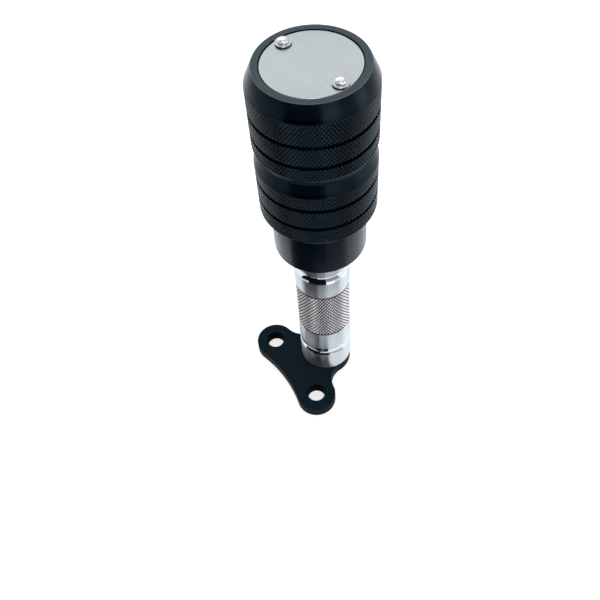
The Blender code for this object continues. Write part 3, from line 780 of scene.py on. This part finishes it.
def makeBracket(finish):
    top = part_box("bracket")[1].z
    plate = {"holeX": 20.35 * mm, "hole": 4.5 * mm, "chamfer": 0.4 * mm, "ear": 10.1 * mm,
             "lobe": 13.1 * mm, "longSide": 69.0 * mm, "neck": 10.8 * mm,
             "sinkMouth": 10.574 * mm, "clearance": 5.3 * mm, "holeSegments": 96,
             "edge": 0.4 * mm, "edgeSteps": 3, "edgeFrom": 60, "sharpFrom": 40}
    shape = bmesh.new()
    face = shape.faces.new([shape.verts.new((point.x, point.y, 0.0))
                            for point in bracketOutline(plate)])
    raised = bmesh.ops.extrude_face_region(shape, geom=[face])
    risen = [part for part in raised["geom"] if isinstance(part, bmesh.types.BMVert)]
    bmesh.ops.translate(shape, verts=risen, vec=(0.0, 0.0, top))
    bmesh.ops.recalc_face_normals(shape, faces=shape.faces)
    mesh = bpy.data.meshes.new("bracketPlate")
    shape.to_mesh(mesh)
    shape.free()
    slab = newObject("bracketPlate", mesh)
    bevel = slab.modifiers.new("edges", "BEVEL")
    bevel.width = plate["edge"]
    bevel.segments = plate["edgeSteps"]
    bevel.limit_method = "ANGLE"
    bevel.angle_limit = math.radians(plate["edgeFrom"])
    wide = plate["hole"] + plate["chamfer"] + overCut
    hole = [(0.0, top + overCut), (wide, top + overCut), (plate["hole"], top - plate["chamfer"]),
            (plate["hole"], plate["chamfer"]), (wide, -overCut), (0.0, -overCut)]
    sink = [(0.0, top + overCut), (plate["clearance"], top + overCut),
            (plate["clearance"], plate["sinkMouth"] - plate["clearance"]),
            (plate["sinkMouth"] + overCut, -overCut), (0.0, -overCut)]
    cutters = [pinCutter(name, x, y, profile, plate["holeSegments"]) for name, x, y, profile in (
        ("boltHole", -plate["holeX"], 0.0, hole), ("boltHole", plate["holeX"], 0.0, hole),
        ("countersink", 0.0, axisPlace.y, sink))]
    mesh = cutWith(slab, cutters)
    smooth(mesh, plate["sharpFrom"])
    piece = newObject("bracketPlate", mesh, finish)
    weighted = piece.modifiers.new("flat faces stay flat", "WEIGHTED_NORMAL")
    weighted.keep_sharp = True
    mesh = plainMesh(piece)
    piece = newObject("bracketPlate", mesh, finish)
    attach(piece, "root")
    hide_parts("bracket")
    print("bracket:", len(piece.data.polygons), "faces")


# Studio

def seenRays(tree):  # 1 for what the camera, gloss and glass see, 0 for the light it sheds
    rays = addNode(tree, "ShaderNodeLightPath")
    return addNode(tree, "ShaderNodeMath", {"operation": "ADD", "use_clamp": True},
                   {0: rays.other("Is Camera Ray") + rays.other("Is Glossy Ray"),
                    1: rays.other("Is Transmission Ray")})


def makeFloor():
    ground = {"size": 4.0, "height": -0.05 * mm, "colour": (0.86, 0.87, 0.88, 1.0), "glow": 0.60}
    half = ground["size"] / 2
    height = ground["height"]
    mesh = bpy.data.meshes.new("paleFloor")
    mesh.from_pydata([(-half, -half, height), (half, -half, height), (half, half, height),
                      (-half, half, height)], [], [(0, 1, 2, 3)])
    material = bpy.data.materials.new("paleFloor")
    material.use_nodes = True
    tree = material.node_tree
    tree.nodes.clear()
    matte = addNode(tree, "ShaderNodeBsdfDiffuse", None, {"Color": ground["colour"]})
    glow = addNode(tree, "ShaderNodeEmission", None,
                   {"Color": grey(1.0), "Strength": seenRays(tree) * ground["glow"]})
    both = addNode(tree, "ShaderNodeAddShader", None, {0: matte, 1: glow})
    addNode(tree, "ShaderNodeOutputMaterial", None, {"Surface": both})
    mesh.materials.append(material)
    floor = newObject("paleFloor", mesh)


def makeScreens():  # studio sheets round the stand, which only gloss reflects
    screens = (
        {"name": "darkScreen", "from": -108, "wallFrom": -80, "to": -20, "split": -55,
         "nearer": 0.044, "near": 0.070, "far": 0.50, "low": 0.5 * mm, "high": 0.30,
         "lowWall": 0.03, "steps": 22, "colour": (0.006, 0.007, 0.009, 1.0)},
        {"name": "greyScreen", "from": -20, "wallFrom": -20, "to": 30, "split": -20,
         "nearer": 0.072, "near": 0.072, "far": 0.50, "low": 0.5 * mm, "high": 0.0,
         "lowWall": 0.0, "steps": 12, "colour": (0.44, 0.48, 0.52, 1.0)})
    for screen in screens:
        points = []
        for step in range(screen["steps"] + 1):
            degrees = screen["from"] + (screen["to"] - screen["from"]) * step / screen["steps"]
            turn = math.radians(degrees)
            outward = Vector((math.cos(turn), math.sin(turn), 0.0))
            low = Vector((0.0, 0.0, screen["low"]))
            top = screen["high"] if degrees > screen["wallFrom"] else screen["lowWall"]
            near = screen["near"] if degrees > screen["split"] else screen["nearer"]
            far = axisPlace + outward * screen["far"]
            points += [axisPlace + outward * near + low, far + low,
                       far + Vector((0.0, 0.0, top))]
        faces = []
        for first in range(0, 3 * screen["steps"], 3):
            faces.append((first, first + 1, first + 4, first + 3))
            if screen["high"]:  # the grey sheet has no wall
                faces.append((first + 1, first + 2, first + 5, first + 4))
        mesh = bpy.data.meshes.new(screen["name"])
        mesh.from_pydata(points, [], faces)
        material = bpy.data.materials.new(screen["name"])
        material.use_nodes = True
        shader = material.node_tree.nodes["Principled BSDF"]
        shader.inputs["Base Color"].default_value = screen["colour"]
        shader.inputs["Roughness"].default_value = 1.0
        shader.inputs["Specular IOR Level"].default_value = 0.0
        mesh.materials.append(material)
        sheet = newObject(screen["name"], mesh)
        sheet.visible_camera = False
        sheet.visible_diffuse = False
        sheet.visible_shadow = False


def makeLights():
    lamps = (  # name, place, aim, size across and along, watts, colour
        ("overheadLamp", (-0.60, 0.39, 0.90), (0.0, 0.0, 0.1), 0.9, 0.9, 2.7, (0.97, 0.99, 1.0)),
        ("leftLamp", (-0.95, -0.05, 0.40), (0.0, 0.02, 0.1), 0.3, 0.8, 2.5, (0.93, 0.98, 1.0)),
        ("rightLamp", (0.62, 0.75, 0.40), (0.0, 0.02, 0.1), 0.35, 0.9, 2.5, (0.80, 0.93, 1.0)),
        ("frontLamp", (1.04, -0.08, 0.34), (0.0, 0.02, 0.08), 0.50, 0.42, 1.6,
         (1.0, 0.84, 0.82)),
        ("highLamp", (0.42, -0.24, 0.95), (0.0, 0.02, 0.15), 0.36, 0.36, 2.3,
         (1.0, 0.98, 0.96)))
    for name, place, aim, across, along, watts, colour in lamps:
        light = bpy.data.lights.new(name, "AREA")
        light.shape = "RECTANGLE"
        light.size = across
        light.size_y = along
        light.energy = watts
        light.color = colour
        lamp = newObject(name, light)
        lamp.location = place
        lamp.rotation_euler = (Vector(aim) - Vector(place)).to_track_quat("-Z", "Y").to_euler()


def makeWorld():
    sky = {"walls": ((0.0, 1.0), (0.08, 0.95), (0.30, 0.35), (0.9, 0.26)),  # height, brightness
           "light": 0.90}
    world = bpy.data.worlds.new("studioWalls")
    world.use_nodes = True
    bpy.context.scene.world = world
    tree = world.node_tree
    tree.nodes.clear()
    direction = addNode(tree, "ShaderNodeTexCoord", None, None, "Generated")
    height = addNode(tree, "ShaderNodeSeparateXYZ", None, {0: direction}, 2)
    wall = addNode(tree, "ShaderNodeValToRGB", {"stops": sky["walls"]}, {0: height})
    seen = seenRays(tree)
    strength = seen + (1 - seen) * sky["light"]
    background = addNode(tree, "ShaderNodeBackground", None,
                         {"Color": wall, "Strength": strength})
    addNode(tree, "ShaderNodeOutputWorld", None, {"Surface": background})


def makeCamera():
    view = {"place": (0.19119, -0.09765, 0.37109), "right": (0.54469, 0.83685, -0.05483),
            "down": (0.66820, -0.47257, -0.57463), "forward": (-0.50678, 0.27636, -0.81658),
            "lens": 46.46, "sensor": 36.0, "nearest": 0.01}
    data = bpy.data.cameras.new("photoView")
    data.lens = view["lens"]
    data.sensor_width = view["sensor"]
    data.clip_start = view["nearest"]
    camera = newObject("photoView", data)
    turn = Matrix((Vector(view["right"]), -Vector(view["down"]), -Vector(view["forward"])))
    turn = turn.transposed().to_4x4()
    camera.matrix_world = Matrix.Translation(view["place"]) @ turn
    bpy.context.scene.camera = camera
    bpy.context.scene.view_settings.view_transform = "Standard"


knurlNodes = knurlTree()
makePuck(knurlNodes, blackPlastic())
makeStem(knurlNodes, turnedAluminium())
makeCap(brushedPlate())
makeRivets(brightRivet())
makeBracket(blackBracket())

hiddenSteel = zincSteel()
for name in ("bracket_screw", "puck_sleeve", "puck_washer", "spring_washer", "puck_bolt"):
    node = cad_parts[name]
    node.data.materials.clear()
    node.data.materials.append(hiddenSteel.material)

makeFloor()
makeScreens()
makeLights()
makeWorld()
makeCamera()
print("studio set")
